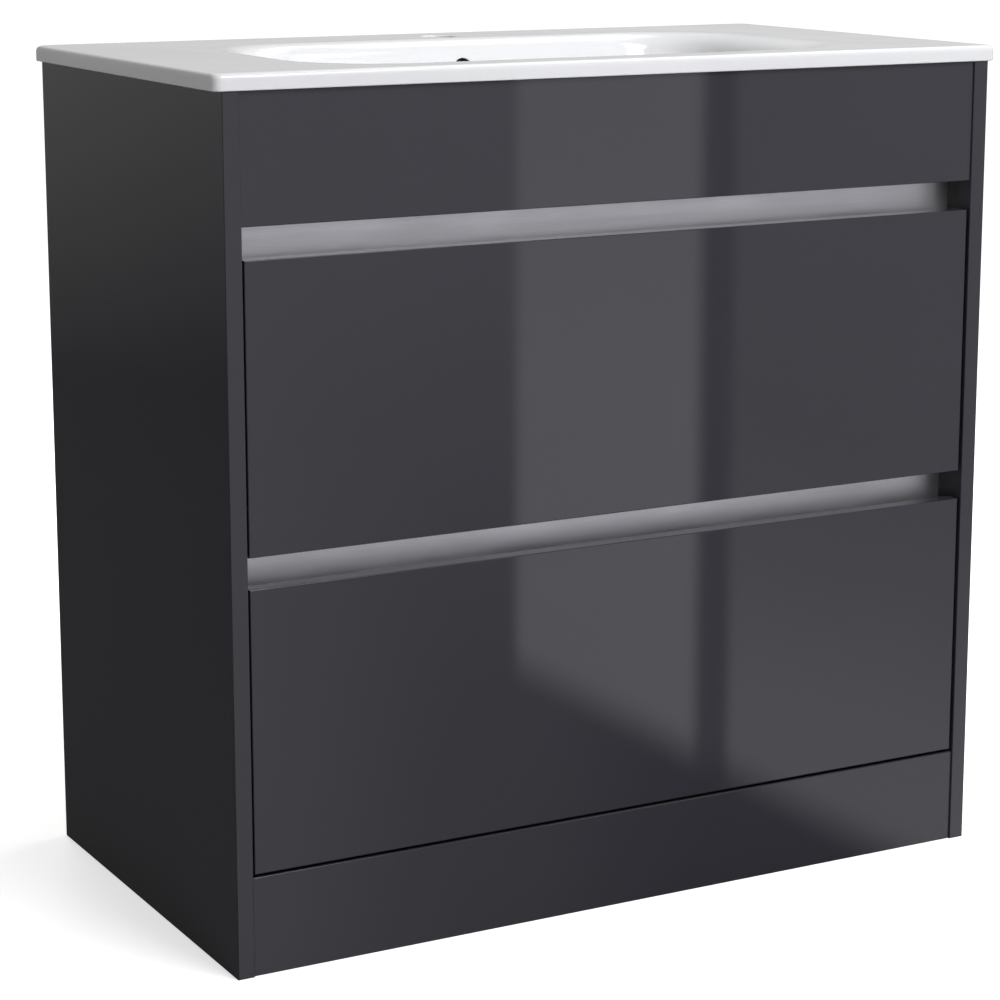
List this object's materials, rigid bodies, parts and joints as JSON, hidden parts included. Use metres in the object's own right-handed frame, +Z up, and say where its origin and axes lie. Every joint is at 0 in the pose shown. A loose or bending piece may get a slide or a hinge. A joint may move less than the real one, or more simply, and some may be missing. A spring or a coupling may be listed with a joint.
{
  "type": "bathroom vanity cabinet",
  "caption": "Floor-standing vanity cabinet with a thin-rimmed ceramic basin, full-width drawers on telescopic slides, recessed finger channels and a plinth.",
  "frame": {"origin": "on the floor, under the middle of the basin's rectangle", "axes": "+X to the right as seen from the front, +Y to the back (the fronts face -Y), +Z up"},
  "size_m": [0.816, 0.442, 0.8],
  "materials": {
    "white_ceramic": "glossy white glaze",
    "gloss_board": "high-gloss anthracite lacquer on medium-density fibreboard",
    "carcass_board": "satin anthracite melamine on chipboard",
    "drawer_board": "light grey linen-effect melamine",
    "satin_aluminium": "satin anodised extrusion",
    "zinc_steel": "bright zinc-plated rolled steel",
    "fastener_steel": "zinc-plated steel",
    "cast_zinc": "die-cast zinc",
    "bearing_steel": "polished ball-bearing steel",
    "beech": "fluted beech dowel"
  },
  "bodies": {
    "cabinet": {"back_rail_bottom": "carcass_board", "back_rail_top": "carcass_board", "base_panel": "carcass_board", "basin": "white_ceramic", "cam_bolts": "fastener_steel", "cam_locks": "cast_zinc", "carcass_dowels": "beech", "channel_brackets": "zinc_steel", "channel_screws": "fastener_steel", "fascia_panel": "gloss_board", "finger_channel_lower": "satin_aluminium", "finger_channel_upper": "satin_aluminium", "lower_slide_outer_left": "zinc_steel", "lower_slide_outer_right": "zinc_steel", "plinth_panel": "gloss_board", "side_panel_left": "gloss_board", "side_panel_right": "gloss_board", "slide_screws": "fastener_steel", "upper_slide_outer_left": "zinc_steel", "upper_slide_outer_right": "zinc_steel", "wall_bracket_left": "zinc_steel", "wall_bracket_right": "zinc_steel", "wall_bracket_screws": "fastener_steel"},
    "upper_drawer": {"upper_drawer_back_left": "drawer_board", "upper_drawer_back_right": "drawer_board", "upper_drawer_bottom": "drawer_board", "upper_drawer_front": "gloss_board", "upper_drawer_screws": "fastener_steel", "upper_drawer_side_left": "drawer_board", "upper_drawer_side_right": "drawer_board", "upper_front_brackets": "zinc_steel", "upper_recess_front": "drawer_board", "upper_recess_left": "drawer_board", "upper_recess_right": "drawer_board", "upper_slide_inner_left": "zinc_steel", "upper_slide_inner_right": "zinc_steel"},
    "lower_drawer": {"lower_drawer_back": "drawer_board", "lower_drawer_bottom": "drawer_board", "lower_drawer_front": "gloss_board", "lower_drawer_screws": "fastener_steel", "lower_drawer_side_left": "drawer_board", "lower_drawer_side_right": "drawer_board", "lower_front_brackets": "zinc_steel", "lower_slide_inner_left": "zinc_steel", "lower_slide_inner_right": "zinc_steel"},
    "upper_slide_middle": {"upper_slide_middle_left": "zinc_steel", "upper_slide_middle_right": "zinc_steel"},
    "lower_slide_middle": {"lower_slide_middle_left": "zinc_steel", "lower_slide_middle_right": "zinc_steel"},
    "upper_cages_outer_body": {"upper_cages_outer": "bearing_steel"},
    "upper_cages_inner_body": {"upper_cages_inner": "bearing_steel"},
    "lower_cages_outer_body": {"lower_cages_outer": "bearing_steel"},
    "lower_cages_inner_body": {"lower_cages_inner": "bearing_steel"}
  },
  "joints": [
    {"name": "upper_drawer_slide", "type": "slide", "parent": "cabinet", "child": "upper_drawer", "axis": [0, -1, 0], "range_m": [0, 0.4]},
    {"name": "upper_middle_slide", "type": "slide", "parent": "cabinet", "child": "upper_slide_middle", "axis": [0, -1, 0], "range_m": [0, 0.2]},
    {"name": "upper_outer_cage_roll", "type": "slide", "parent": "cabinet", "child": "upper_cages_outer_body", "axis": [0, -1, 0], "range_m": [0, 0.1]},
    {"name": "upper_inner_cage_roll", "type": "slide", "parent": "cabinet", "child": "upper_cages_inner_body", "axis": [0, -1, 0], "range_m": [0, 0.3]},
    {"name": "lower_drawer_slide", "type": "slide", "parent": "cabinet", "child": "lower_drawer", "axis": [0, -1, 0], "range_m": [0, 0.4]},
    {"name": "lower_middle_slide", "type": "slide", "parent": "cabinet", "child": "lower_slide_middle", "axis": [0, -1, 0], "range_m": [0, 0.2]},
    {"name": "lower_outer_cage_roll", "type": "slide", "parent": "cabinet", "child": "lower_cages_outer_body", "axis": [0, -1, 0], "range_m": [0, 0.1]},
    {"name": "lower_inner_cage_roll", "type": "slide", "parent": "cabinet", "child": "lower_cages_inner_body", "axis": [0, -1, 0], "range_m": [0, 0.3]}
  ],
  "couplings": [
    {"joint": "upper_middle_slide", "follows": "upper_drawer_slide", "ratio": 0.5},
    {"joint": "upper_outer_cage_roll", "follows": "upper_drawer_slide", "ratio": 0.25},
    {"joint": "upper_inner_cage_roll", "follows": "upper_drawer_slide", "ratio": 0.75},
    {"joint": "lower_middle_slide", "follows": "lower_drawer_slide", "ratio": 0.5},
    {"joint": "lower_outer_cage_roll", "follows": "lower_drawer_slide", "ratio": 0.25},
    {"joint": "lower_inner_cage_roll", "follows": "lower_drawer_slide", "ratio": 0.75}
  ]
}
